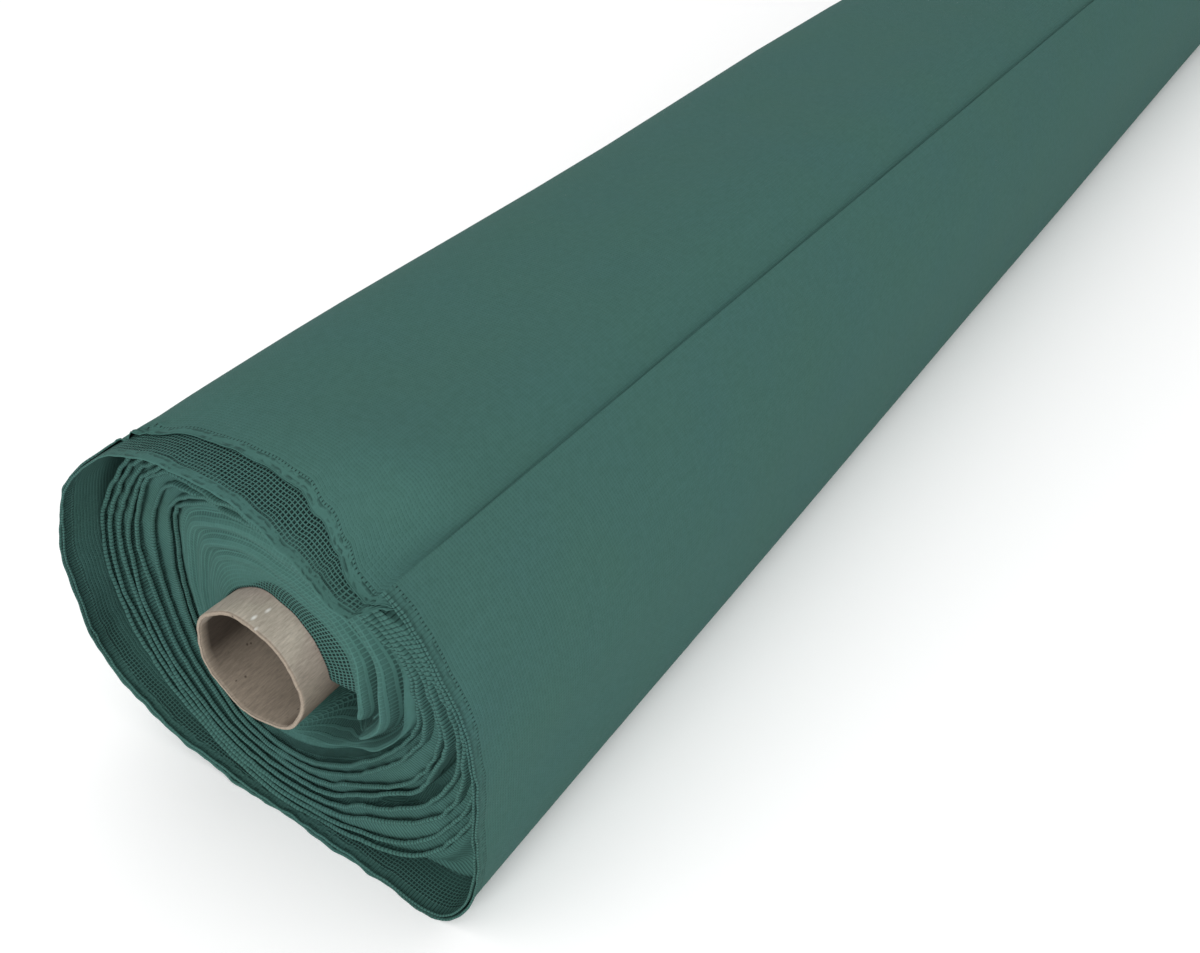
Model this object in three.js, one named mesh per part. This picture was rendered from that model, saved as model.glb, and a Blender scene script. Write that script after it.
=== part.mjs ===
// A roll of mosquito netting on a cardboard tube, lying on its side.
// Millimetres. X runs across the roll, +Y along it away from the loose end that shows, +Z up.
// The netting is one cloth, folded double and wound. Its packed turns are one solid.
// Its last turn lies loose around them and is a sheet of its own.
import * as THREE from 'three';
import { mergeVertices } from 'three/addons/utils/BufferGeometryUtils.js';

// Driving sizes
const rollLength = 1500;
const tube = { outerRadius: 22.5, wall: 2, edgeRound: 0.5, facets: 56 };
const sheet = { thickness: 1.8, bead: 0.7, farShort: 3 };
const gap = { sheetToTurns: 0.9, tubeToTurns: 0.5, underFlap: 0.5 };
const floor = { drop: 73, touch: 0.3 };
const wound = { turns: 8, rowsPerTurn: 4, boreLip: 1, firstRow: 0.02, lastRow: 0.985 };
// One turn's rows in cross-section: how far across the turn each lies, and its share of the height
const turnRows = { across: [0, 0.22, 0.5, 0.82], crest: [0, 0.85, 1, 0.8] };
const lipStart = { from: 0.35, to: 0.15 };
const farEnd = { inset: 8, rows: 6, ripple: 1.6 };
const stations = 72;
// The free edge's steps, and those of the tail that is tucked under it
const flap = { edgeSteps: 6, tailSteps: 8, tuckFrom: 2.2, tuckTo: 0.4, tuckBack: 2 };
const flapRoom = { after: 3, before: 4, full: 2 };

// The last turn's outside, seen from the loose end, clockwise from its free edge.
// across and up are measured from the middle of the tube.
const outline = [
  { across: 62, up: 61.5 },
  { across: 74, up: 48.6 },
  { across: 85, up: 28 },
  { across: 89.5, up: 4 },
  { across: 88, up: -24 },
  { across: 85.5, up: -46 },
  { across: 81, up: -62 },
  { across: 73, up: -71.5 },
  { across: 60, up: -73 },
  { across: 30, up: -73 },
  { across: 0, up: -73 },
  { across: -20, up: -72.6 },
  { across: -38, up: -68.8 },
  { across: -54, up: -61.4 },
  { across: -69, up: -50.4 },
  { across: -79, up: -40 },
  { across: -83, up: -26 },
  { across: -83.4, up: -8 },
  { across: -82.6, up: 10 },
  { across: -78.9, up: 27.6 },
  { across: -72, up: 43 },
  { across: -63, up: 54 },
  { across: -53, up: 63.5 },
  { across: -43, up: 70 },
  { across: -29, up: 73.5 },
  { across: 0, up: 74.5 },
  { across: 28, up: 74 },
  { across: 43, up: 71.5 },
  { across: 54, up: 66 },
];

// How far the last turn's near rim is drawn back, by the angle around the tube.
// rimReach is how far down the roll that fades away.
const rimReach = 110;
const rimSetback = [
  { deg: -180, back: 0 },
  { deg: -168, back: 0.2 },
  { deg: -153, back: 2.3 },
  { deg: -131, back: 3.2 },
  { deg: -118, back: 4.6 },
  { deg: -105, back: 3.2 },
  { deg: -90, back: 1.5 },
  { deg: -68, back: 1.2 },
  { deg: -58, back: 0 },
  { deg: -49, back: 0 },
  { deg: -40, back: 0 },
  { deg: -30, back: 0.3 },
  { deg: 20, back: 0 },
  { deg: 47, back: 0.5 },
  { deg: 55, back: 5 },
  { deg: 64, back: 10 },
  { deg: 76, back: 16 },
  { deg: 92, back: 17 },
  { deg: 108, back: 13 },
  { deg: 120, back: 5 },
  { deg: 130, back: 0 },
  { deg: 150, back: 0 },
  { deg: 161, back: 0 },
  { deg: 172, back: 0 },
];

// How deep the near end of the packed turns lies behind the tube's rim, by angle.
// collar is beside the tube, rim at the outermost turn, and lip is how far that turn stands out.
const recess = [
  { deg: -180, collar: 13, inner: 14, middle: 16, outer: 17, rim: 17, lip: 3 },
  { deg: -135, collar: 13, inner: 14, middle: 15, outer: 14, rim: 13, lip: 3 },
  { deg: -90, collar: 14, inner: 14, middle: 12, outer: 10, rim: 9, lip: 2.5 },
  { deg: -45, collar: 20, inner: 17, middle: 13, outer: 11, rim: 11, lip: 3 },
  { deg: 0, collar: 16, inner: 12, middle: 11, outer: 12, rim: 12, lip: 3 },
  { deg: 36, collar: 13, inner: 11, middle: 9, outer: 10, rim: 10, lip: 8 },
  { deg: 47, collar: 13, inner: 11, middle: 9, outer: 9, rim: 9, lip: 13 },
  { deg: 56, collar: 13, inner: 11, middle: 9, outer: 9, rim: 10, lip: 15 },
  { deg: 74, collar: 13, inner: 11, middle: 10, outer: 11, rim: 12, lip: 13.5 },
  { deg: 90, collar: 13, inner: 11, middle: 11, outer: 12, rim: 12, lip: 12 },
  { deg: 120, collar: 13, inner: 13, middle: 15, outer: 15, rim: 15, lip: 14 },
  { deg: 136, collar: 13, inner: 13, middle: 16, outer: 17, rim: 17, lip: 12 },
  { deg: 148, collar: 13, inner: 14, middle: 17, outer: 18, rim: 18, lip: 3 },
];
const depthAt = { inner: 0.28, middle: 0.55, outer: 0.82 };
const ridge = { soft: 2.2, sewn: 3.4, softTo: 0.3, sewnFrom: 0.6 };

// The packed turns are rounder than the loose one, and leave its lower right corner hollow
const corner = { deg: -42, width: 20, hollow: 9 };
// The flap's free edge slants down the roll, and the far shoulder is a little lower
const flapDrift = 12.5 / 1000;
const shoulder = { deg: 126, sink: 5 / 1000 };
const ripple = { height: 0.9, wave: 410, lobes: 3, settle: 120 };
const underside = { deg: -84, halfWidth: 40, blend: 25 };

const endZone = 30;
const alongStations = [0, 1.5, 4, endZone, 110, 260, 430, 620, 820, 1020, 1220, 1400, rollLength];

const netCloth = new THREE.MeshStandardMaterial({ color: 0x41665f, roughness: 0.85, metalness: 0 });
const looseCloth = new THREE.MeshStandardMaterial({ color: 0x446c65, roughness: 0.85, metalness: 0 });
const paperboard = new THREE.MeshStandardMaterial({ color: 0xa1978a, roughness: 0.9, metalness: 0 });

const toDeg = 180 / Math.PI;

function smoothStep(from, to, value) {
  const t = Math.min(1, Math.max(0, (value - from) / (to - from)));
  return t * t * (3 - 2 * t);
}

function wrapDeg(deg) {
  return ((deg + 540) % 360) - 180;
}

// A column of a table that goes round the tube, blended smoothly between its rows
function around(table, column, deg) {
  const angle = wrapDeg(deg);
  let after = table.findIndex((row) => row.deg > angle);
  if (after < 0) after = table.length;
  const low = table[after - 1];
  const high = table[after % table.length];
  const highDeg = high.deg + (after === table.length ? 360 : 0);
  return THREE.MathUtils.lerp(low[column], high[column], smoothStep(low.deg, highDeg, angle));
}

const outlineCurve = new THREE.CatmullRomCurve3(
  outline.map((row) => new THREE.Vector3(row.across, 0, row.up)), true, 'centripetal');
outlineCurve.arcLengthDivisions = 800;
const outlineLength = outlineCurve.getLength();
const stepLength = outlineLength / stations;

// Where a point of the outline lies, and which way is inward there
function outlineAt(distance) {
  const turnShare = (((distance / outlineLength) % 1) + 1) % 1;
  const place = outlineCurve.getPointAt(turnShare);
  const along = outlineCurve.getTangentAt(turnShare);
  const onFloor = place.z < -floor.drop + floor.touch;
  if (onFloor) place.z = -floor.drop;
  const inward = onFloor ? new THREE.Vector3(0, 0, 1) : new THREE.Vector3(-along.z, 0, along.x).negate();
  return { place, inward, deg: Math.atan2(place.z, place.x) * toDeg };
}

// The slow swell of the cloth along the roll, which leaves the underside flat
function swell(deg, along) {
  const fromUnderside = Math.abs(wrapDeg(deg - underside.deg)) - underside.halfWidth;
  const clearOfFloor = smoothStep(0, underside.blend, fromUnderside);
  const sideways = Math.cos(wrapDeg(deg - shoulder.deg) / toDeg);
  const sink = shoulder.sink * along * Math.max(0, sideways) ** 2;
  const wave = Math.sin((along / ripple.wave) * 2 * Math.PI + (deg / toDeg) * ripple.lobes);
  const fade = smoothStep(0, ripple.settle, along);
  return clearOfFloor * (ripple.height * fade * wave - sink);
}

// A point at some depth inside the outline, moved with the swell
function sectionPoint(distance, inset, along) {
  const { place, inward, deg } = outlineAt(distance);
  const move = inset - swell(deg, along);
  return new THREE.Vector3(place.x + inward.x * move, along, place.z + inward.z * move);
}

function netMesh(name, geometry, material) {
  geometry.computeVertexNormals();
  const mesh = new THREE.Mesh(geometry, material);
  mesh.name = name;
  return mesh;
}

// The cardboard tube, its ends slightly rounded
function coreTube() {
  const inner = tube.outerRadius - tube.wall;
  const outer = tube.outerRadius;
  const round = tube.edgeRound;
  const half = rollLength / 2;
  const profile = [
    [inner, -half + round],
    [inner + round, -half],
    [outer - round, -half],
    [outer, -half + round],
    [outer, half - round],
    [outer - round, half],
    [inner + round, half],
    [inner, half - round],
    [inner, -half + round],
  ].map(([radius, along]) => new THREE.Vector2(radius, along));
  const lathe = new THREE.LatheGeometry(profile, tube.facets);
  lathe.deleteAttribute('normal');
  lathe.deleteAttribute('uv');
  const geometry = mergeVertices(lathe, 1e-3);
  geometry.translate(0, half, 0);
  return netMesh('core_tube', geometry, paperboard);
}

// The loose last turn: from its free edge round the roll and a little way under that edge
function looseTurn() {
  const steps = stations + flap.tailSteps;
  const lengths = alongStations.length - 1;
  const box = new THREE.BoxGeometry(1, 1, 1, steps, 1, lengths);
  box.deleteAttribute('normal');
  box.deleteAttribute('uv');
  const geometry = mergeVertices(box, 1e-4);
  const points = geometry.getAttribute('position');
  for (let i = 0; i < points.count; i += 1) {
    const step = Math.round((points.getX(i) + 0.5) * steps);
    const inside = points.getY(i) < 0;
    const row = Math.round((0.5 - points.getZ(i)) * lengths);
    const nominal = alongStations[row];
    const drift = flapDrift * nominal;
    const distance = step < flap.edgeSteps
      ? THREE.MathUtils.lerp(drift, flap.edgeSteps * stepLength, step / flap.edgeSteps)
      : step * stepLength;
    const { deg } = outlineAt(distance);
    const reach = 1 - smoothStep(0, rimReach, nominal);
    const tuck = smoothStep(stations - flap.tuckFrom, stations - flap.tuckTo, step);
    const back = around(rimSetback, 'back', deg) * reach * (step > stations ? 0 : 1);
    const along = Math.min(nominal + back + tuck * reach * flap.tuckBack, rollLength - sheet.farShort);
    const bead = row === 1 ? sheet.bead : 0;
    const inset = tuck * (sheet.thickness + gap.underFlap) + (inside ? sheet.thickness + bead : 0);
    const place = sectionPoint(distance, inset, along);
    points.setXYZ(i, place.x, place.y, place.z);
  }
  return netMesh('net_loose_turn', geometry, looseCloth);
}

// The packed turns' outside, just inside the loose turn
function packedOutside(step, along) {
  const distance = step * stepLength;
  const underFlap = 1 - smoothStep(flap.tailSteps, flap.tailSteps + flapRoom.after, step)
    + smoothStep(stations - flapRoom.before, stations - flapRoom.full, step);
  const inset = sheet.thickness + gap.sheetToTurns
    + underFlap * (sheet.thickness + gap.underFlap);
  const place = sectionPoint(distance, inset, along);
  const deg = Math.atan2(place.z, place.x) * toDeg;
  const near = Math.abs(wrapDeg(deg - corner.deg)) / corner.width;
  const hollow = corner.hollow * (1 - smoothStep(0, 1, near));
  const shrink = 1 - hollow / Math.hypot(place.x, place.z);
  return new THREE.Vector3(place.x * shrink, along, place.z * shrink);
}

// A point between the tube and the outside, share 0 to 1, at one angle
function packedPoint(step, share, along) {
  const outside = packedOutside(step, along);
  const angle = Math.atan2(outside.z, outside.x);
  const bore = tube.outerRadius + gap.tubeToTurns;
  return new THREE.Vector3(
    THREE.MathUtils.lerp(Math.cos(angle) * bore, outside.x, share), along,
    THREE.MathUtils.lerp(Math.sin(angle) * bore, outside.z, share));
}

// How deep the grooves between the turns are at the near end
function grooveDepth(deg, share) {
  const at = (column) => around(recess, column, deg);
  const ladder = [
    { share: 0, depth: at('collar') },
    { share: depthAt.inner, depth: at('inner') },
    { share: depthAt.middle, depth: at('middle') },
    { share: depthAt.outer, depth: at('outer') },
    { share: 1, depth: at('rim') },
  ];
  const upper = Math.max(1, ladder.findIndex((row) => row.share >= share));
  const low = ladder[upper - 1];
  const high = ladder[upper];
  return THREE.MathUtils.mapLinear(share, low.share, high.share, low.depth, high.depth);
}

// One row of one turn at the near end. Rows wind outward, so each turn runs on into the next.
function woundPoint(row, step) {
  const { turns, rowsPerTurn, firstRow, lastRow } = wound;
  const turnsOut = row / rowsPerTurn + step / stations;
  const phase = (row % rowsPerTurn) / rowsPerTurn;
  const crest = turnRows.crest[row % rowsPerTurn];
  const squeeze = turnsOut - phase + turnRows.across[row % rowsPerTurn];
  const share = THREE.MathUtils.lerp(firstRow, lastRow, squeeze / (turns + 1));
  const flat = packedPoint(step, share, 0);
  const deg = Math.atan2(flat.z, flat.x) * toDeg;
  const groove = grooveDepth(deg, share);
  const plainRidge = THREE.MathUtils.lerp(ridge.soft, ridge.sewn, smoothStep(ridge.softTo, ridge.sewnFrom, share));
  const isLip = smoothStep(turns - lipStart.from, turns - lipStart.to, turnsOut - phase);
  const height = THREE.MathUtils.lerp(plainRidge, around(recess, 'lip', deg), isLip);
  return packedPoint(step, share, groove - crest * height);
}

// Joins two closed loops of vertex numbers whose angles both run clockwise from the same start
function zipLoops(faces, innerLoop, outerLoop, angles) {
  let i = 0;
  let o = 0;
  while (i < innerLoop.length || o < outerLoop.length) {
    const nextInner = i < innerLoop.length ? angles.inner[i + 1] : Infinity;
    const nextOuter = o < outerLoop.length ? angles.outer[o + 1] : Infinity;
    const a = innerLoop[i % innerLoop.length];
    const b = outerLoop[o % outerLoop.length];
    if (nextInner < nextOuter) {
      i += 1;
      faces.push(a, innerLoop[i % innerLoop.length], b);
    } else {
      o += 1;
      faces.push(a, outerLoop[o % outerLoop.length], b);
    }
  }
}

// The packed turns: a closed body round the tube, wound ridges at its near end
function packedTurns() {
  const { turns, rowsPerTurn } = wound;
  const lastRow = turns * rowsPerTurn;
  const vertices = [];
  const faces = [];
  const addVertex = (point) => vertices.push(point.x, point.y, point.z) / 3 - 1;
  const addRing = (pointAt) => Array.from({ length: stations }, (_, step) => addVertex(pointAt(step)));
  const bridge = (ringA, ringB) => {
    for (let k = 0; k < stations; k += 1) {
      const next = (k + 1) % stations;
      faces.push(ringA[k], ringB[next], ringB[k], ringA[k], ringA[next], ringB[next]);
    }
  };

  // Near end: strips of faces between winding rows
  const grid = [];
  for (let row = 0; row <= lastRow; row += 1) {
    grid.push(Array.from({ length: stations }, (_, step) => addVertex(woundPoint(row, step))));
  }
  const outerStep = [];
  for (let row = lastRow - rowsPerTurn + 1; row <= lastRow; row += 1) {
    outerStep.push(addVertex(woundPoint(row, stations)));
  }
  const gridAt = (row, step) => {
    if (step < stations) return grid[row][step];
    const shifted = row + rowsPerTurn;
    return shifted <= lastRow ? grid[shifted][0] : outerStep[shifted - lastRow - 1];
  };
  for (let row = 0; row < lastRow; row += 1) {
    for (let step = 0; step < stations; step += 1) {
      const a = gridAt(row, step);
      const b = gridAt(row + 1, step);
      const c = gridAt(row + 1, step + 1);
      const d = gridAt(row, step + 1);
      faces.push(a, c, b, a, d, c);
    }
  }

  // The collar beside the tube, and the outside edge, meet the first and last rows
  const groove = (step, share) => {
    const flat = packedPoint(step, share, 0);
    return grooveDepth(Math.atan2(flat.z, flat.x) * toDeg, share) + wound.boreLip;
  };
  const nearBore = addRing((step) => packedPoint(step, 0, groove(step, 0)));
  const nearOutside = addRing((step) => packedPoint(step, 1, groove(step, 1)));
  const ringAngles = Array.from({ length: stations + 1 }, (_, k) => k);
  const firstLoop = [...grid[0]];
  const firstAngles = [...ringAngles];
  for (let row = rowsPerTurn; row >= 1; row -= 1) {
    firstLoop.push(grid[row][0]);
    firstAngles.push(stations);
  }
  zipLoops(faces, nearBore, firstLoop, { inner: ringAngles, outer: firstAngles });
  const lastLoop = [...grid[lastRow], gridAt(lastRow, stations)];
  const lastAngles = [...ringAngles, stations];
  for (let row = lastRow - 1; row > lastRow - rowsPerTurn; row -= 1) {
    lastLoop.push(gridAt(row, stations));
    lastAngles.push(stations);
  }
  zipLoops(faces, lastLoop, nearOutside, { inner: lastAngles, outer: ringAngles });

  // Outside and bore run to the far end, which is finished plainly
  const farAlong = rollLength - farEnd.inset;
  let outside = nearOutside;
  for (const along of alongStations.filter((value) => value > endZone && value < farAlong)) {
    const ring = addRing((step) => packedPoint(step, 1, along));
    bridge(outside, ring);
    outside = ring;
  }
  for (let row = farEnd.rows; row >= 0; row -= 1) {
    const share = row / farEnd.rows;
    const along = farAlong + (row % 2 ? -farEnd.ripple : farEnd.ripple) * (row > 0 ? 1 : 0);
    const ring = addRing((step) => packedPoint(step, share, along));
    bridge(outside, ring);
    outside = ring;
  }
  bridge(outside, nearBore);

  const geometry = new THREE.BufferGeometry();
  geometry.setAttribute('position', new THREE.Float32BufferAttribute(vertices, 3));
  geometry.setIndex(faces);
  return netMesh('net_roll', geometry, netCloth);
}

const roll = new THREE.Group();
roll.add(coreTube(), packedTurns(), looseTurn());

// The origin is on the floor under the middle of the roll
const bounds = new THREE.Box3().setFromObject(roll);
const middle = bounds.getCenter(new THREE.Vector3());
roll.position.set(-middle.x, -middle.y, -bounds.min.z);

export default roll;
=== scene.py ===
# Roll of fine green mosquito net on a cardboard core, lying on a pale floor.
# Lengths in the dictionaries are millimetres, measured from the middle of the core's near rim.
# Angles go round the core in degrees: 0 is right, 90 is up, seen from the end with the selvedges.
import math
from bisect import bisect_right

import bmesh
import bpy
from mathutils import Matrix, Vector, noise


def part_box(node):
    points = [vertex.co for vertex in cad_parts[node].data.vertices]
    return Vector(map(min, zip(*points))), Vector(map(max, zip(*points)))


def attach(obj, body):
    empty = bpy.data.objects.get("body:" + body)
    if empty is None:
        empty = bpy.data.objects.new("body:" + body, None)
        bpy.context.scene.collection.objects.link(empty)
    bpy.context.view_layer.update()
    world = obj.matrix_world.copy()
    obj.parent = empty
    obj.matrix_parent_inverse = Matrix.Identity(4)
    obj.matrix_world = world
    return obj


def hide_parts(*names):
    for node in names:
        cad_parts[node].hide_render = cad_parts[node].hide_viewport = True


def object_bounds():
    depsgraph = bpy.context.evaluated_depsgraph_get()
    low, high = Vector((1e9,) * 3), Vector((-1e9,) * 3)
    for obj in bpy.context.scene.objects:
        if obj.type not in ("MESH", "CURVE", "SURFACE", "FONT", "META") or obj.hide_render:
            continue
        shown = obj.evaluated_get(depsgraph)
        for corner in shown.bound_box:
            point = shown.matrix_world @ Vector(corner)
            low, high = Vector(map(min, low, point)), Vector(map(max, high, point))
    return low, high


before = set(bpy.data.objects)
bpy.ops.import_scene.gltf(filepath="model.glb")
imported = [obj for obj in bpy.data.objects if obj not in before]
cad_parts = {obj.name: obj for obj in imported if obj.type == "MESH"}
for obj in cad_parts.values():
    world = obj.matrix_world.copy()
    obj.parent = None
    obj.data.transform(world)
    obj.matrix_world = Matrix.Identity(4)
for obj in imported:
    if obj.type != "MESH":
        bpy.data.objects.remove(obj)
cadLow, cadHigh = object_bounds()
coreLow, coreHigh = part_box("core_tube")
coreEnd = Vector(((coreLow.x + coreHigh.x) / 2, coreLow.y, (coreLow.z + coreHigh.z) / 2))
rollLength = (coreHigh.y - coreLow.y) * 1000
coreRadius = (coreHigh.x - coreLow.x) * 500
floorLevel = (cadLow.z - coreEnd.z) * 1000
print("frame loaded, roll length", round(rollLength), "mm")

cameraShot = {
    "fromRim": (261.7, -203.2, 304.2),
    "right": (0.84264, 0.53848, 0),
    "up": (-0.31750, 0.49685, 0.80767),
    "back": (0.43491, -0.68058, 0.58963),
    "lens": 40.95,
}


def placeCamera(shot):
    camera = bpy.data.objects.new("photo_camera", bpy.data.cameras.new("photo_camera"))
    bpy.context.scene.collection.objects.link(camera)
    turn = Matrix((shot["right"], shot["up"], shot["back"])).transposed().to_4x4()
    turn.translation = coreEnd + Vector(shot["fromRim"]) / 1000
    camera.matrix_world = turn
    camera.data.sensor_width = 36
    camera.data.lens = shot["lens"]
    camera.data.clip_start = 0.01
    bpy.context.scene.camera = camera


placeCamera(cameraShot)
print("camera placed")


# Small sums used by every piece
def ease(start, end, value):
    t = min(1, max(0, (value - start) / (end - start)))
    return t * t * (3 - 2 * t)


def mix(a, b, t):
    return a + (b - a) * t


def wrapDeg(deg):
    return (deg + 180) % 360 - 180


def readTable(table, key, column, value):  # blends smoothly between a table's rows
    keys = table[key]
    k = bisect_right(keys, value)
    if k == 0 or k == len(keys):
        return table[column][min(k, len(keys) - 1)]
    return mix(table[column][k - 1], table[column][k], ease(keys[k - 1], keys[k], value))


def around(table, column, deg):  # a smooth curve through a table whose last row meets its first
    angle = wrapDeg(deg)
    keys, values = table["deg"], table[column]
    count = len(keys)
    k = bisect_right(keys, angle)
    x0, x1, x2, x3 = (keys[(k + i) % count] + 360 * ((k + i) // count) for i in (-2, -1, 0, 1))
    y0, y1, y2, y3 = (values[(k + i) % count] for i in (-2, -1, 0, 1))
    slope1 = (y2 - y0) / (x2 - x0) * (x2 - x1)
    slope2 = (y3 - y1) / (x3 - x1) * (x2 - x1)
    t = (angle - x1) / (x2 - x1)
    curve = y1 * (2 * t ** 3 - 3 * t * t + 1) + slope1 * (t ** 3 - 2 * t * t + t)
    return curve + y2 * (3 * t * t - 2 * t ** 3) + slope2 * (t ** 3 - t * t)


def wobble(x, y, z=0.0):
    return noise.noise(Vector((x, y, z)))


# The outline of the roll's section, clockwise from the cloth's free edge
rollShape = {
    "outline": (
        (62, 61.5), (74, 48.6), (85, 28), (89.5, 4), (88, -24), (85.5, -46), (81, -62),
        (73, -71.5), (60, -73), (30, -73), (0, -73), (-20, -72.6), (-38, -68.8),
        (-54, -61.4), (-69, -50.4), (-79, -40), (-83, -26), (-83.4, -8), (-82.6, 10),
        (-78.9, 27.6), (-72, 43), (-63, 54), (-53, 63.5), (-43, 70), (-29, 73.5),
        (0, 74.5), (28, 74), (43, 71.5), (54, 66),
    ),
    "samplesPerSpan": 40,
    "flapDrift": 0.0125,  # the free edge slants this much for each millimetre down the roll
    "shoulderDeg": 126,
    "shoulderSink": 0.005,
    "ripple": {"height": 0.9, "wave": 410, "lobes": 3, "settle": 120},
    "underside": {"deg": -84, "half": 40, "blend": 25},
}


def loopSamples(points, perSpan):
    samples = []
    count = len(points)
    for i in range(count):
        p0, p1, p2, p3 = (Vector(points[(i + k) % count]) for k in (-1, 0, 1, 2))
        d0, d1, d2 = ((b - a).length ** 0.5 for a, b in ((p0, p1), (p1, p2), (p2, p3)))
        m1 = ((p1 - p0) / d0 - (p2 - p0) / (d0 + d1) + (p2 - p1) / d1) * d1
        m2 = ((p2 - p1) / d1 - (p3 - p1) / (d1 + d2) + (p3 - p2) / d2) * d1
        for k in range(perSpan):
            t = k / perSpan
            samples.append(
                p1 * (2 * t ** 3 - 3 * t * t + 1) + m1 * (t ** 3 - 2 * t * t + t)
                + p2 * (3 * t * t - 2 * t ** 3) + m2 * (t ** 3 - t * t))
    return samples


outlineSamples = loopSamples(rollShape["outline"], rollShape["samplesPerSpan"])
outlineLengths = [0.0]
for k, sample in enumerate(outlineSamples):
    step = outlineSamples[(k + 1) % len(outlineSamples)] - sample
    outlineLengths.append(outlineLengths[-1] + step.length)
turnLength = outlineLengths[-1]
outlineByDeg = sorted((math.degrees(math.atan2(p.y, p.x)), p.length) for p in outlineSamples)
outlineDegs = [row[0] for row in outlineByDeg]


def outlineAt(distance):  # place, way inward and angle
    along = distance % turnLength
    k = min(bisect_right(outlineLengths, along) - 1, len(outlineSamples) - 1)
    a, b = outlineSamples[k], outlineSamples[(k + 1) % len(outlineSamples)]
    t = (along - outlineLengths[k]) / (outlineLengths[k + 1] - outlineLengths[k])
    place = a.lerp(b, t)
    tangent = (b - a).normalized()
    inward = Vector((tangent.y, -tangent.x))
    if place.y < floorLevel + 0.3:
        place.y = floorLevel
        inward = Vector((0, 1))
    return place, inward, math.degrees(math.atan2(place.y, place.x))


def reachAt(deg):  # the outline's distance from the core's middle
    angle = wrapDeg(deg)
    k = bisect_right(outlineDegs, angle) % len(outlineDegs)
    return outlineByDeg[k][1]


def swell(deg, along):
    under, ripple = rollShape["underside"], rollShape["ripple"]
    clear = ease(0, under["blend"], abs(wrapDeg(deg - under["deg"])) - under["half"])
    sideways = max(0, math.cos(math.radians(deg - rollShape["shoulderDeg"])))
    wave = math.sin(along / ripple["wave"] * 2 * math.pi + math.radians(deg) * ripple["lobes"])
    rise = ripple["height"] * wave + 0.8 * wobble(deg / 38, along / 170, 4)
    rise *= ease(0, ripple["settle"], along)
    return clear * (rise - rollShape["shoulderSink"] * along * sideways ** 2)


# Materials
def linear(hexColour):  # sRGB hex to linear
    parts = [int(hexColour[i:i + 2], 16) / 255 for i in (1, 3, 5)]
    return (*[c / 12.92 if c <= 0.04045 else ((c + 0.055) / 1.055) ** 2.4 for c in parts], 1)


def addNode(tree, kind, inputs=None, **settings):
    node = tree.nodes.new("ShaderNode" + kind)
    for name, value in settings.items():
        setattr(node, name, value)
    for socket, value in (inputs or {}).items():
        if isinstance(value, bpy.types.NodeSocket):
            tree.links.new(value, node.inputs[socket])
        else:
            node.inputs[socket].default_value = value
    return node


# Shorter names for the nodes used most
def sums(tree, operation, a, b=None, clamp=False):
    inputs = {0: a} if b is None else {0: a, 1: b}
    return addNode(tree, "Math", inputs, operation=operation, use_clamp=clamp).outputs[0]


def vectors(tree, operation, a, b=None):
    inputs = {0: a} if b is None else {0: a, 1: b}
    node = addNode(tree, "VectorMath", inputs, operation=operation)
    return node.outputs["Value" if operation == "LENGTH" else "Vector"]


def ramp(tree, value, low, high, toLow=0.0, toHigh=1.0, **settings):
    return addNode(tree, "MapRange", {
        "Value": value, "From Min": low, "From Max": high, "To Min": toLow, "To Max": toHigh,
    }, **settings).outputs[0]


def blend(tree, factor, a, b, **settings):
    return addNode(tree, "Mix", {"Factor": factor, "A": a, "B": b}, data_type="RGBA", **settings).outputs[2]


def cloudy(tree, vector, scale, detail, roughness=0.5):
    inputs = {"Vector": vector, "Scale": scale, "Detail": detail, "Roughness": roughness}
    return addNode(tree, "TexNoise", inputs).outputs["Fac"]


def newMaterial(name):
    material = bpy.data.materials.new(name)
    material.use_nodes = True
    tree = material.node_tree
    tree.nodes.clear()
    return material, tree


netLook = {
    "thread": "#3E6259",
    "threadCool": "#3D615E",
    "threadDeep": "#35574F",
    # painted shade: the colour painted into the holes for the dark seen through them
    "hole": "#12211F",
    "meshAround": 1.3,  # the real mesh is 1.1, drawn a little coarser
    "meshAlong": 1.3,
    "threadHalf": 0.16,  # share of the mesh
    "threadSoft": 0.06,
    "wander": 0.4,  # yarns stray this far
    "tape": 4.2,  # width of the stitched selvedge
    "ribPitch": 1.35,  # overlock stitches
    "dimpleRows": (1.3, 3.3),  # how far in the rows of dimples lie
}


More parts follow.
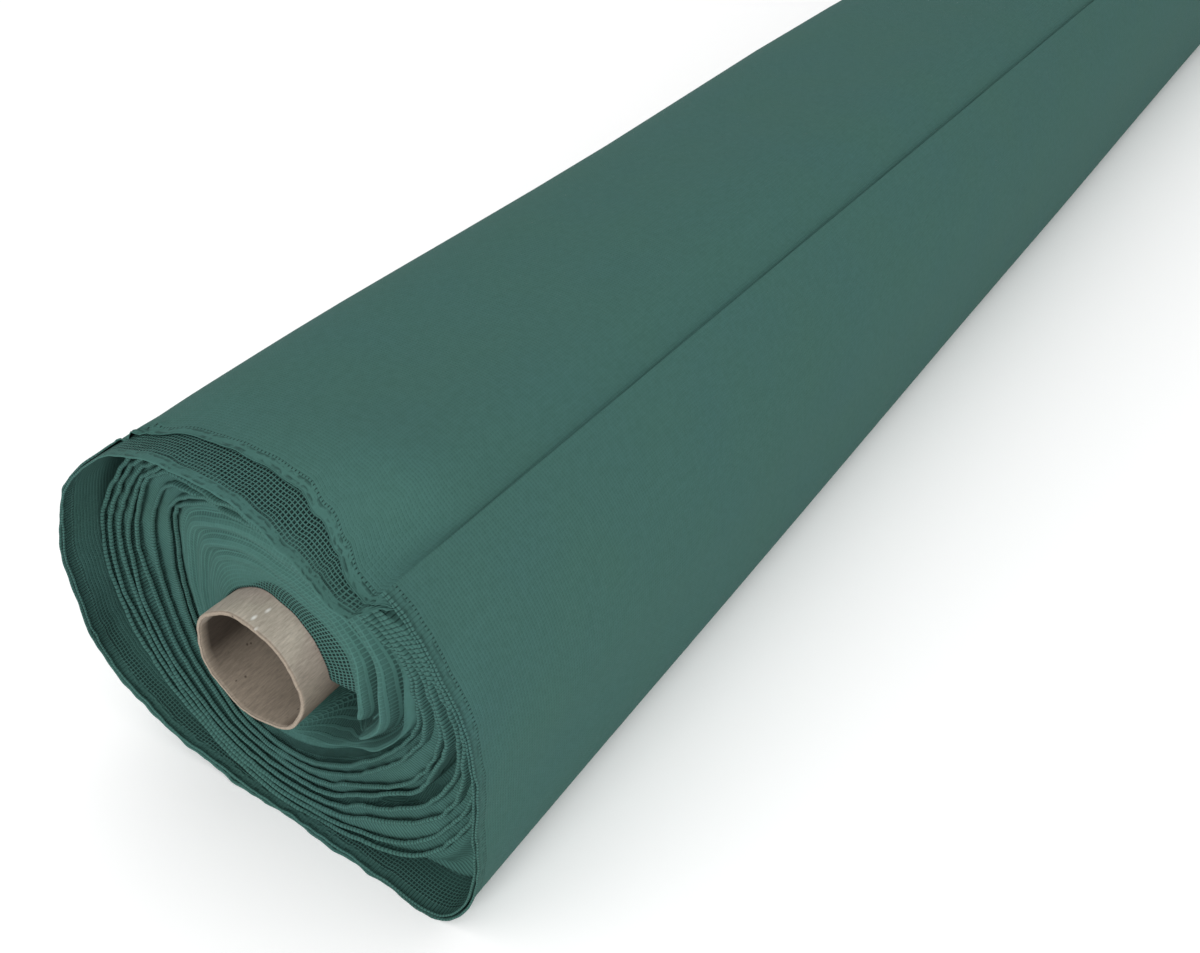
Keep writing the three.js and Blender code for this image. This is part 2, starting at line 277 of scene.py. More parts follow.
def knittedNet(name, look, seeThrough):
    # Knitted polyester net: square mesh of soft matt yarn, with an overlocked selvedge.
    # The piece's own UV map holds real metres: u round the roll, v in from the selvedge.
    material, tree = newMaterial(name)
    uv = addNode(tree, "UVMap", uv_map="Cloth").outputs["UV"]
    stray = addNode(tree, "TexNoise", {"Vector": uv, "Scale": 90, "Detail": 1}).outputs["Color"]
    step = look["wander"] / 1000
    stray = vectors(tree, "MULTIPLY", stray, (step, step, 0))
    axes = addNode(tree, "SeparateXYZ", {0: vectors(tree, "ADD", uv, stray)})
    u, v = axes.outputs["X"], axes.outputs["Y"]
    low, high = look["threadHalf"] - look["threadSoft"], look["threadHalf"] + look["threadSoft"]
    gaps = []
    for axis, mesh in ((u, look["meshAround"]), (v, look["meshAlong"])):
        saw = sums(tree, "PINGPONG", sums(tree, "MULTIPLY", axis, 1000 / mesh), 0.5)
        gaps.append(ramp(tree, saw, low, high, interpolation_type="SMOOTHSTEP"))
    tape = look["tape"] / 1000
    pastTape = ramp(tree, v, tape - 0.0002, tape + 0.0002)
    hole = sums(tree, "MULTIPLY", sums(tree, "MULTIPLY", gaps[0], gaps[1]), pastTape)
    # how much painted shade darkens the holes, per point
    dark = addNode(tree, "Attribute", attribute_name="holeShade").outputs["Fac"]
    ribbed = addNode(tree, "Attribute", attribute_name="ribbed").outputs["Fac"]

    # Yarn: a slow drift between two greens, with a finer mottle
    place = addNode(tree, "TexCoord").outputs["Object"]
    yarn = blend(tree, cloudy(tree, place, 26, 2), linear(look["thread"]), linear(look["threadCool"]))
    uneven = ramp(tree, cloudy(tree, place, 420, 2), 0.35, 0.7, toHigh=0.35)
    yarn = blend(tree, uneven, yarn, linear(look["threadDeep"]))

    # Overlock stitches: ridges across the selvedge, and a row of needle holes along its inner edge
    stitch = sums(tree, "PINGPONG", sums(tree, "MULTIPLY", u, 1000 / look["ribPitch"]), 0.5)
    onTape = sums(tree, "SUBTRACT", 1, pastTape)
    ribShare = sums(tree, "MULTIPLY", onTape, ribbed)
    valley = ramp(tree, stitch, 0.2, 0.05, interpolation_type="SMOOTHSTEP")
    fromSeam = sums(tree, "ABSOLUTE", sums(tree, "SUBTRACT", v, tape + 0.0003))
    needle = sums(tree, "MULTIPLY", ramp(tree, fromSeam, 0.0006, 0.0002), valley)

    # Where the stitches lie flat they only show as two rows of dimples
    lines = []
    for row in look["dimpleRows"]:
        off = sums(tree, "ABSOLUTE", sums(tree, "SUBTRACT", v, row / 1000))
        lines.append(ramp(tree, off, 0.0007, 0.0002))
    patchy = ramp(tree, cloudy(tree, uv, 420, 1), 0.45, 0.62)
    dimple = sums(tree, "MULTIPLY", sums(tree, "MAXIMUM", *lines), patchy)
    dimple = sums(tree, "MULTIPLY", dimple, sums(tree, "SUBTRACT", onTape, ribShare, clamp=True))

    # Painted shade: holes, dimples, needle holes and the grooves between stitches are painted dark, as the
    # shade in and behind them
    grooveShade = sums(tree, "MULTIPLY", sums(tree, "MULTIPLY", valley, ribShare), 0.7)
    depth = sums(tree, "MULTIPLY", hole, dark)
    for other in (sums(tree, "MULTIPLY", dimple, 0.4), needle, grooveShade):
        depth = sums(tree, "MAXIMUM", depth, other)
    colour = blend(tree, depth, yarn, linear(look["hole"]))

    ridge = sums(tree, "MULTIPLY", sums(tree, "MULTIPLY", stitch, 2.4), ribShare)
    height = sums(tree, "ADD", sums(tree, "MULTIPLY", hole, -0.35), ridge)
    height = sums(tree, "SUBTRACT", height, dimple)
    bump = addNode(tree, "Bump", {"Height": height, "Strength": 0.8, "Distance": 0.0005}).outputs["Normal"]
    shader = addNode(tree, "BsdfPrincipled", {
        "Base Color": colour, "Roughness": 0.9, "Specular IOR Level": 0.1, "Normal": bump})
    if seeThrough:
        sheer = addNode(tree, "Attribute", attribute_name="sheer").outputs["Fac"]
        alpha = sums(tree, "SUBTRACT", 1, sums(tree, "MULTIPLY", hole, sheer))
        tree.links.new(alpha, shader.inputs["Alpha"])
    addNode(tree, "OutputMaterial", {"Surface": shader.outputs[0]})
    return material


looseNet = knittedNet("knitted_net_sheer", netLook, True)
packedNet = knittedNet("knitted_net_packed", netLook, False)
print("net materials made")


# Cloth: a flat grid, rolled by a function that says where each of its points goes
def rollCloth(name, columns, rows, placeAt, material, closed=False, more=()):
    bm = bmesh.new()
    uvLayer = bm.loops.layers.uv.new("Cloth")
    # Per point: painted shade in the holes, strength of the stitches, and real see-through
    marks = {key: bm.verts.layers.float.new(key) for key in ("holeShade", "ribbed", "sheer")}
    jobs = [(columns, rows, placeAt, closed), *more]
    for wide, high, place, isClosed in jobs:
        grid = bmesh.ops.create_grid(bm, x_segments=wide, y_segments=high, size=0.5)["verts"]
        flat = {}
        for v in grid:
            column, row = round((v.co.x + 0.5) * wide), round((v.co.y + 0.5) * high)
            spot, u, down, values = place(column, row)
            v.co = coreEnd + Vector(spot) / 1000
            flat[v] = (u / 1000, down / 1000)
            for key, value in values.items():
                v[marks[key]] = value
        for face in {f for v in grid for f in v.link_faces}:
            for loop in face.loops:
                loop[uvLayer].uv = flat[loop.vert]
            face.smooth = True
        if isClosed:
            bmesh.ops.remove_doubles(bm, verts=grid, dist=1e-6)
            bmesh.ops.recalc_face_normals(bm, faces=bm.faces[:])
    mesh = bpy.data.meshes.new(name)
    bm.to_mesh(mesh)
    bm.free()
    mesh.materials.append(material)
    piece = bpy.data.objects.new(name, mesh)
    bpy.context.scene.collection.objects.link(piece)
    return piece


# The last turn: two plies of one cloth, folded at the far end. Rows follow the inner ply away
# from its selvedge to the fold and the outer ply back to its own.
lastTurn = {
    "tail": 58,  # how far it runs on under its own free edge
    "columns": 560,
    "plyInset": {"outer": 0.3, "inner": 0.85},
    "closePlies": {"turned": 258, "lift": 0.3},  # they lie close together at the upper left
    "tuck": 1.9,  # the tail lies this much further in
    "backFade": 110,  # a rim's set-back is gone this far down the roll
    "sagFade": 46,  # and its sag this far
    "rimFade": (2, 34),  # and its flutter here
    "pressed": {"deg": -84, "half": 36, "blend": 30},  # flat under the roll's weight
    "beadRadius": 0.42,
    "beadTurns": (215, 165, 115, 70, 30),  # degrees of the rolled edge
    "downs": (
        0.8, 1.7, 2.7, 3.7, 4.7, 5.9, 7.2, 8.7, 10.4, 12.4, 14.8, 17.6, 21, 25, 30, 36, 44, 54, 68, 86,
        110, 140, 180, 230, 290, 360, 440, 520, 610, 700, 800, 900, 1000, 1100, 1200, 1290, 1370, 1430,
        1470, 1490,
    ),
    "farShort": 3.5,
    "foldRadius": 0.6,
    "outerHoles": 0.08,  # how dark the holes are painted, as the shade seen through them
    "innerHoles": 0.12,
    "foldHoles": 0.2,
    "bandHoles": 0.8,
    "sheerness": 0.4,
}
# By degrees turned from the free edge: how far back each ply's rim lies and how far the rims sag inward
lastTurnRim = {
    "turned": (
        0, 25, 45, 75, 85, 94, 103, 113, 135, 150, 163, 176, 198, 213, 225, 233, 244, 255, 265,
        275, 285, 297, 309, 318, 328, 336, 346, 353, 357, 360, 363, 367, 371, 395),
    "outerBack": (
        0.5, 0, 0, 0.3, -0.4, -2.2, -0.4, 1.2, 3.1, 4.1, 4.6, 3.2, 2.3, 0.2, -1, -1.6, -0.6, -0.2, 1.6,
        6.5, 12, 15.5, 16.5, 17, 16, 12.5, 7, 4, 3, 4, 6, 10, 14, 16),
    "innerBack": (
        0.5, 0, 0, 0.3, -0.2, -1.8, 0, 1.6, 3.6, 4.6, 5, 3.8, 2.8, 0.6, -0.6, -1.3, -0.2, -1, -0.4,
        0, 0, 0, 0, 0, -1, -2.5, -5, -6, -5, -1, 5, 12, 16, 18),
    "innerSag": (
        0, 0, 0, 0, 0, 0, 0, 0, 0, 0, 0, 0, 0, 0, 0, 0, 0, 0, 0,
        1, 2.1, 1.7, 1.9, 4.1, 7.2, 10.6, 12.7, 13.5, 13, 12, 10, 7.5, 5, 1.5),
}
crumple = {"distance": 432, "radius": 9, "height": 2.4}  # a pucker in the outer ply's selvedge


def lastTurnPoint(ply, distance, down):
    look = lastTurn
    drift = rollShape["flapDrift"] * max(0, down)
    spread = distance + drift * (1 - ease(0, 45, distance))
    place, inward, deg = outlineAt(spread)
    turned = (outlineAt(0)[2] - deg) % 360 + (360 if spread > turnLength else 0)
    if turned > 300 and distance < 30:
        turned -= 360
    back = readTable(lastTurnRim, "turned", ply + "Back", turned)
    along = back * (1 - ease(0, look["backFade"], down)) + down
    inset = look["plyInset"][ply] + look["tuck"] * ease(turnLength - 16, turnLength - 3, distance)
    if ply == "inner":
        near = look["closePlies"]
        inset -= near["lift"] * (1 - ease(10, 22, abs(turned - near["turned"])))
    sag = readTable(lastTurnRim, "turned", "innerSag", turned)
    inset += sag * (1 - ease(0, look["sagFade"], along))  # the outer ply lies on the inner and sags with it
    pressed = look["pressed"]
    free = ease(0, pressed["blend"], abs(wrapDeg(deg - pressed["deg"])) - pressed["half"])
    nearRim = 1 - ease(*look["rimFade"], down)
    side = 3.1 if ply == "inner" else 0.0
    flutter = 0.9 * wobble(distance / 21, 0.5, along / 30) + 0.3 * wobble(distance / 7, 5.5, along / 14)
    flutter += 0.2 * wobble(distance / 9, side, along / 12)
    pucker = 0.0
    if ply == "outer":
        gone = math.hypot(distance - crumple["distance"], down * 0.8) / crumple["radius"]
        pucker = crumple["height"] * max(0, 1 - gone * gone) * wobble(distance / 2.6, 9, down / 3.4)
    inset -= (flutter * nearRim * free + swell(deg, along) + pucker)
    spot = place + inward * inset
    edge = 0.55 * wobble(distance / 5.5, side + 2) + 0.8 * wobble(distance / 26, side + 7)
    return Vector((spot.x, along + edge * nearRim, max(spot.y, floorLevel + 0.05))), inward, turned


def lastTurnMarks(look, ply, turned, down, top):
    near = 1 - ease(20, 34, down)
    bottom = 1 - ease(35, 60, abs(turned - 150))
    ribbed = (1 - 0.9 * top) * (1 - 0.6 * bottom)
    if ply == "outer":
        return {"holeShade": look["outerHoles"], "ribbed": ribbed * (0.35 if down > 0 else 1)}
    # Painted shade: the holes are painted dark under the lip, in a band above the floor and in the loose
    # corner, where shade lies behind them
    loose = 1 - ease(6, 18, abs(turned - 90))
    band = ease(76, 88, turned) * (1 - ease(200, 235, turned)) * (1 - ease(8, 10 + 14 * loose, down))
    holeShade = near * max(look["innerHoles"], look["bandHoles"] * band, top)
    return {"holeShade": holeShade, "ribbed": ribbed, "sheer": look["sheerness"] * top * near}


def buildLastTurn(shape):
    bead, turns = shape["beadRadius"], shape["beadTurns"]
    farEnd = rollLength - shape["farShort"]
    length = turnLength + shape["tail"]
    # One row each: which ply, how far from its selvedge, how far round the bead
    rows = [("inner", -math.radians(t) * bead, t) for t in turns]
    rows += [("inner", down, 0) for down in shape["downs"]]
    rows += [("fold", 0, t) for t in (0, 45, 90, 135, 180)]
    rows += [("outer", down, 0) for down in reversed(shape["downs"])]
    rows += [("outer", -math.radians(t) * bead, t) for t in reversed(turns)]

    def place(column, row):
        ply, down, turn = rows[row]
        distance = length * column / shape["columns"]
        angle = math.radians(turn)
        if ply == "fold":
            inner = lastTurnPoint("inner", distance, farEnd)[0]
            outer = lastTurnPoint("outer", distance, farEnd)[0]
            spot = inner.lerp(outer, (1 - math.cos(angle)) / 2)
            spot.y = farEnd + shape["foldRadius"] * math.sin(angle)
            # the holes in the fold get some painted shade
            return spot, distance, farEnd, {"holeShade": shape["foldHoles"]}
        spot, inward, turned = lastTurnPoint(ply, distance, down + bead if down > 0 else 0)
        top = ease(268, 290, turned) * (1 - ease(362, 372, turned))
        if turn:
            side = 1 if ply == "inner" else -1
            curl = bead * (1 - 0.65 * top)
            roll = inward * side * curl * (1 - math.cos(angle))
            spot += Vector((roll.x, bead - curl * math.sin(angle), roll.y))
            spot.z = max(spot.z, floorLevel + 0.02)
        return spot, distance, down, lastTurnMarks(shape, ply, turned, down, top)

    return rollCloth("last_turn_net", shape["columns"], len(rows) - 1, place, looseNet)


lastTurnNet = buildLastTurn(lastTurn)
print("last turn rolled,", len(lastTurnNet.data.polygons), "faces")


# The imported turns: soft folds near the core, then stitched selvedges, a hollow, and more selvedges
packed = {
    "bore": 0.5,  # clear of the core
    "columns": 384,
    "seam": -145,  # degrees
    "softRows": 60,
    "floorRows": 44,
    "folds": 4,
    "hollow": {"deg": -50, "half": 32, "from": 33, "to": 40, "depth": 30},  # under the core
    "collarMesh": {"deg": 20, "share": 0.13},  # holes painted dark to the right of the core, as shade seen through them
    "sideDowns": (26, 36, 50, 70, 100, 260, 430, 620, 820, 1020, 1220, 1400),
    "boreDowns": (1000, 500, 100, 30),
    "farShort": 8,
    "farTurns": 9,
    "farRows": 60,
    "farBulge": 2.6,
    "turns": 4,
    "plyColumns": 1080,
    "plyStart": 100,  # degrees, under the lip of the last turn
    "plyDowns": (0.7, 1.5, 2.4, 3.3, 4.3, 5.6, 7.4, 10, 14),
    "plySeeds": (11.3, 47.9),
    "lean": (3.2, 2.6),  # the selvedges lean down and to the left
    "beadRadius": 0.8,
    "beadTurns": (200, 140, 80, 35),
}
# Radius of each ply's selvedge, outermost first, two to a turn
selvedgeRings = {
    "deg": (
        -180, -160, -135, -112, -90, -66, -57, -47, -36, -27, -16, 0,
        13, 24, 36, 50, 58, 69, 77, 90, 110, 127, 136, 150, 166),
    0: (81, 78.5, 74.5, 71, 71, 75, 79, 83, 84, 84.5, 86, 86,
        84, 81, 76.5, 71, 68, 65.5, 67.5, 71, 75, 76, 77, 78, 81),
    1: (77.5, 75, 71.5, 68, 68, 72, 75, 78, 79.5, 80.5, 82.5, 83,
        82, 79.5, 75, 69.5, 66.5, 64.5, 66, 69, 73, 74, 75, 75.5, 77.5),
    2: (71, 69.5, 67, 64, 63.5, 66, 66, 69, 73, 76, 78.5, 80,
        80, 78, 73.5, 68, 65, 63.5, 64.5, 67, 71, 71.5, 72, 72, 73),
    3: (67.5, 66, 63.5, 60.5, 60, 62, 60.5, 63.5, 67.5, 71, 74, 77,
        77.5, 76, 72, 66.5, 63.5, 62, 63, 65, 69, 69.5, 70, 69, 69),
    4: (59.5, 57.5, 56, 54.5, 54, 56.5, 56, 57.5, 60.5, 65, 67.5, 73,
        73.5, 74.5, 70, 65, 62, 60.5, 61, 62.5, 66, 67.5, 68, 66, 64),
    5: (53.5, 51.5, 51, 50.5, 50, 52.5, 52, 54, 58, 61.5, 65, 70,
        71.5, 72.5, 68, 63, 60.5, 59, 59, 60, 62, 63, 62, 60, 56),
    6: (44.5, 43.5, 44, 45, 45.5, 47, 47.5, 49, 51, 53.5, 57.5, 64.5,
        67.5, 70, 66, 61, 59, 57.5, 57, 57.5, 58, 58, 56.5, 51, 47),
    7: (41.5, 40, 40.5, 41.5, 42, 43.5, 44, 45.5, 47, 49.5, 53.5, 61,
        64.5, 67, 64, 59, 57.5, 56, 55, 55, 55, 56, 54, 48.5, 44),
}
# Depths behind the core's rim of the net beside the core, the soft folds and the selvedges,
# how high the folds are, and how much the selvedges stand out
packedDepths = {
    "deg": (
        -180, -160, -135, -112, -90, -70, -54, -45, -35, -13, 0,
        17, 36, 45, 58, 69, 77, 90, 104, 120, 136, 150, 166),
    "collar": (
        13, 13, 13, 14, 15, 16, 16.5, 16, 14.5, 12.3, 12,
        12, 12, 12.1, 12.4, 12.7, 12.9, 13.6, 13.8, 13.4, 13, 13, 13),
    "fold": (
        13, 12.5, 12, 11, 11, 13, 15.5, 16, 15, 12, 11,
        10.5, 10, 10, 9.5, 9.5, 10, 11, 12, 13, 14, 14, 13.5),
    "rim": (
        13.6, 12.5, 10.5, 8, 6.5, 6.5, 7, 7.5, 8, 8.5, 8.5,
        7.5, 6.5, 6, 6, 7, 7.5, 8.5, 10, 11.6, 13.6, 14.4, 14),
    "foldHeight": (
        1.2, 1, 0.8, 0.8, 0.8, 1.5, 4, 6, 7, 7.5, 7.5,
        6.4, 3.4, 1.8, 1.3, 1.2, 1.3, 1.8, 2.6, 2.8, 2, 1.4, 1.2),
    "stand": (
        1, 1, 0.8, 0.55, 0.45, 0.6, 0.9, 1, 1, 1, 1,
        1, 0.8, 0.5, 0.25, 0.2, 0.2, 0.2, 0.35, 0.7, 1, 1, 1),
}
# Which share of the way out each ring and the outer side are
ringShares = {"soft": 0.46, 7: 0.5, 4: 0.66, 3: 0.75, 0: 0.97}
sideShare = 1.12


def roomAt(deg, along):  # how far out there is room under the sagging last turn
    turned = (outlineAt(0)[2] - deg) % 360
    lies = 1 if turned > 60 else 1 - ease(25, 45, turned)  # its tucked end lies here too
    turned += 360 if turned < 60 else 0
    sag = readTable(lastTurnRim, "turned", "innerSag", turned)
    sag *= 1 - ease(0, lastTurn["sagFade"], along)
    return reachAt(deg) - 2.2 - lies * (1.15 * sag + 2.2 * ease(330, 350, turned))


def ringRadius(deg, share, along):
    inside = coreRadius + packed["bore"]
    outside = roomAt(deg, along) - 1
    near = 1 - ease(16, 60, along)
    stops = [(0.0, inside)]
    for key, stop in ringShares.items():
        ring = around(selvedgeRings, 7, deg) - 3 if key == "soft" else around(selvedgeRings, key, deg)
        stops.append((stop, mix(mix(inside, outside, stop), ring, near)))
    stops.append((sideShare, outside))
    for (lowShare, low), (highShare, high) in zip(stops, stops[1:]):
        if share <= highShare:
            return min(outside, mix(low, high, (share - lowShare) / (highShare - lowShare)))
    return outside


def polar(deg, radius, along):
    angle = math.radians(deg)
    return Vector((math.cos(angle) * radius, along, math.sin(angle) * radius))


def packedDepth(deg, share, radius):  # how far back the net lies, and how much painted shade darkens its holes
    at = {key: around(packedDepths, key, deg) for key in ("collar", "fold", "rim", "foldHeight", "stand")}
    spot = polar(deg, radius, 0)
    soft = ringShares["soft"]
    start = at["fold"] + 1.5
    if share < soft:
        t = share / soft
        warp = 0.09 * wobble(spot.x / 24, spot.z / 24, 1.5)
        phase = (t * packed["folds"] - deg / 360 + warp) % 1
        crest = (0.5 + 0.5 * math.cos(2 * math.pi * phase)) ** 0.8
        strong = 0.9 + 0.3 * wobble(spot.x / 20, spot.z / 20, 6)
        begun = ease(0.28, 0.46, t)
        height = at["foldHeight"] * strong * crest * begun
        wrinkle = 0.25 * wobble(spot.x / 6, spot.z / 6, 2)
        under = packed["hollow"]
        hollow = math.exp(-(wrapDeg(deg - under["deg"]) / under["half"]) ** 4)
        hollow *= 1 - ease(under["from"], under["to"], radius)
        # Painted shade in the holes: deep in the hollow under the core and in the valleys between folds
        dark = max(hollow, (1 - crest) * ease(0.3, 0.46, t) * min(0.85, 0.25 + 0.09 * at["foldHeight"]))
        base = mix(at["collar"], start, ease(0, 0.5, t))
        return base - height * (1 - hollow) + wrinkle + under["depth"] * hollow, dark
    floor = at["rim"] + 1.2 + 1.3 * at["stand"]
    opening = around(selvedgeRings, 3, deg) - around(selvedgeRings, 4, deg)
    middle = (ringShares[3] + ringShares[4]) / 2
    hollow = ease(3.4, 7, opening) * (1 - ease(0.02, 0.05, abs(share - middle))) * 9
    edge = ease(0.99, 1.06, share) * 5
    return mix(start, floor, ease(soft, soft + 0.05, share)) + hollow + edge, 0.1


def nearFace(deg, share, arc):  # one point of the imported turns' near face
    soft = ringShares["soft"]
    radius = ringRadius(deg, share, 0)
    along, dark = packedDepth(deg, share, radius)
    mesh = packed["collarMesh"]
    wide = mesh["share"] * (1 - ease(45, 95, abs(wrapDeg(deg - mesh["deg"]))))
    openNet = 1 - ease(wide, wide + 0.02, share)
    right = 1 - ease(25, 50, abs(wrapDeg(deg - 40)))
    left = 1 - ease(25, 55, abs(wrapDeg(deg - 165)))
    # Painted shade in the holes: full in the open mesh beside the core, light elsewhere, more at the right
    # and the left
    marks = {"holeShade": max(openNet, 0.1 + 0.15 * right + 0.25 * left, dark)}
    spot = polar(deg, radius, along)
    if share > soft + 0.015:  # between the selvedges only stitches show
        return spot, arc * 66, 2, {**marks, "ribbed": 0.8}
    return spot, arc * mix(27, 44, ease(0, 0.4, share)), 30 + share * 62, marks


def selvedgePly(shape, ply, seed):  # one ply of the selvedges that stand out of the end
    bead, turnCount = shape["beadRadius"], shape["turns"]
    downs = [-math.radians(t) * bead for t in shape["beadTurns"]] + list(shape["plyDowns"])

    def place(column, row):
        turns = turnCount * column / shape["plyColumns"]
        deg = shape["plyStart"] - 360 * turns
        ring = min(turnCount - 1, int(turns))
        radius = around(selvedgeRings, 2 * ring + ply, deg)
        if ring + 1 < turnCount:
            following = around(selvedgeRings, 2 * ring + 2 + ply, deg)
            radius = mix(radius, following, ease(0.93, 1, turns - ring))
        stand = around(packedDepths, "stand", deg)
        down = downs[row]
        spot = polar(deg, radius, 0)
        slow = wobble(spot.x / 17, spot.z / 17, seed)
        quick = wobble(spot.x / 5.5, spot.z / 5.5, seed + 4)
        fine = wobble(spot.x / 2.4, spot.z / 2.4, seed + 8)
        along = around(packedDepths, "rim", deg) + 1.1 * slow + 0.6 * quick + (1 - stand) * 0.8 + 0.5 * ply
        wave = (0.7 * slow + 0.8 * quick + 0.35 * fine) * (1 - ease(0, 9, down))
        spot = polar(deg, radius + wave, along + max(0, down))
        fall = ease(-1, 9, down) * (0.3 + 0.7 * stand)
        spot += Vector((shape["lean"][0] * fall, 0, shape["lean"][1] * fall))
        if down < 0:
            angle = -down / bead
            spot += polar(deg, -bead * (1 - math.cos(angle)), -bead * math.sin(angle))
        reach = math.hypot(spot.x, spot.z)
        room = roomAt(math.degrees(math.atan2(spot.z, spot.x)), spot.y) - 0.6 - 0.3 * (2 * ring + ply)
        if reach > room:
            spot.x *= room / reach
            spot.z *= room / reach
        arc = turns * 2 * math.pi * 64
        # the holes get a little painted shade
        return spot, arc, down, {"holeShade": 0.15, "ribbed": 0.5 + 0.5 * stand}

    return shape["plyColumns"], len(downs) - 1, place, False


def buildPacked(shape):
    farFace = rollLength - shape["farShort"]
    soft = ringShares["soft"]
    rows = [("near", soft * k / shape["softRows"]) for k in range(shape["softRows"])]
    rows += [("near", mix(soft, sideShare, k / shape["floorRows"])) for k in range(shape["floorRows"] + 1)]
    rows += [("side", down) for down in shape["sideDowns"]]
    rows += [("far", sideShare * (1 - k / shape["farRows"])) for k in range(shape["farRows"] + 1)]
    rows += [("bore", down) for down in shape["boreDowns"]]
    rows += [("near", 0)]

    def place(column, row):
        kind, value = rows[row]
        turned = 360 * column / shape["columns"]
        deg = wrapDeg(shape["seam"] + turned)
        arc = math.radians(turned - 180)
        if kind == "near":
            return nearFace(deg, value, arc)
        if kind == "far":
            phase = (value * shape["farTurns"] + deg / 360) % 1
            bulge = shape["farBulge"] * math.sin(math.pi * phase) ** 0.6 if value < 1 else 0
            rough = 1.2 * wobble(value * 9, deg / 20, 3)
            along = farFace - shape["farBulge"] + bulge + rough
            radius = ringRadius(deg, value, along) + swell(deg, along) * value
            # the holes get a little painted shade, here and on the side and in the bore
            return polar(deg, radius, along), arc * 44, 200 + value * 60, {"holeShade": 0.1}
        share = sideShare if kind == "side" else 0
        radius = ringRadius(deg, share, value) + (swell(deg, value) if kind == "side" else 0)
        return polar(deg, radius, value), arc * 44, value + 100, {"holeShade": 0.1}

    plies = [selvedgePly(shape, ply, seed) for ply, seed in enumerate(shape["plySeeds"])]
    return rollCloth("packed_net", shape["columns"], len(rows) - 1, place, packedNet, True, plies)


packedTurns = buildPacked(packed)
print("packed turns made,", len(packedTurns.data.polygons), "faces")


# The core: spiral-wound paperboard, its cut rim a little uneven
coreShape = {
    "wall": 1.4,
    "steps": 120,
    "downs": (0.3, 1.2, 3, 6, 10, 16, 30, 80, 300, 750, 1200, 1480),
    "rimNoise": 0.28,
    "facet": 0.3,
    "oval": 0.4,
}


def buildCore(shape):
    bm = bmesh.new()
    outer, inner = coreRadius, coreRadius - shape["wall"]
    profile = [
        (outer, 0.3), (outer - 0.25, 0.05), (outer - 0.8, 0), (outer - 1.0, 0.18),
        (outer - 1.3, 0.05), (inner + 0.25, 0.1)]
    profile += [(inner, down) for down in shape["downs"]]
    profile += [
        (inner, rollLength - 0.3), (inner + 0.3, rollLength),
        (outer - 0.3, rollLength), (outer, rollLength - 0.3)]
    profile += [(outer, down) for down in reversed(shape["downs"][1:])]
    ring = [bm.verts.new((radius / 1000, down / 1000, 0)) for radius, down in profile]
    edges = [bm.edges.new((a, b)) for a, b in zip(ring, ring[1:] + ring[:1])]
    bmesh.ops.spin(
        bm, geom=ring + edges, cent=(0, 0, 0), axis=(0, 1, 0), angle=2 * math.pi,
        steps=shape["steps"], use_merge=True)
    bmesh.ops.remove_doubles(bm, verts=bm.verts[:], dist=1e-6)
    bmesh.ops.recalc_face_normals(bm, faces=bm.faces[:])
    for v in bm.verts:
        down = v.co.y * 1000
        deg = math.degrees(math.atan2(v.co.z, v.co.x))
        nearEnd = 1 - ease(0, 26, down)
        ragged = 1 - ease(0, 1.4, down)
        flat = shape["facet"] * (math.cos(math.radians(deg * 7 + 40)) + wobble(deg / 30, 3)) * nearEnd
        flat += shape["oval"] * math.cos(math.radians(2 * (deg - 136))) * nearEnd
        radius = math.hypot(v.co.x, v.co.z)
        grown = radius + (flat + 0.12 * wobble(deg / 6, down / 5, 7)) / 1000
        v.co.x *= grown / radius
        v.co.z *= grown / radius
        v.co.y += shape["rimNoise"] / 1000 * ragged * (wobble(deg / 9, 1) + 0.6 * wobble(deg / 3, 5))
        v.co += coreEnd
    for face in bm.faces:
        face.smooth = True
    mesh = bpy.data.meshes.new("paper_core")
    bm.to_mesh(mesh)
    bm.free()
    piece = bpy.data.objects.new("paper_core", mesh)
    bpy.context.scene.collection.objects.link(piece)
    return piece


boardLook = {
    "light": "#C8BDAF",
    "dark": "#9E9487",
    "rose": "#A9978F",
    "inside": "#8C8173",
    # painted shade lower down the side
    "under": "#6E6356",
    # painted shade on the cut rim, which faces the lamp
    "rim": "#857A6D",
    # painted shade deep in the bore and at its top
    "deep": "#3E362E",
    "speck": "#4E453C",
    # painted highlights: glints on specks of glue at the rim
    "glint": "#F2EFEA",
    "glints": ((3.6, 3.4, 22.2), (6.9, 0.7, 21.4), (4.7, 8.3, 22.0)),  # mm from the rim's middle
}


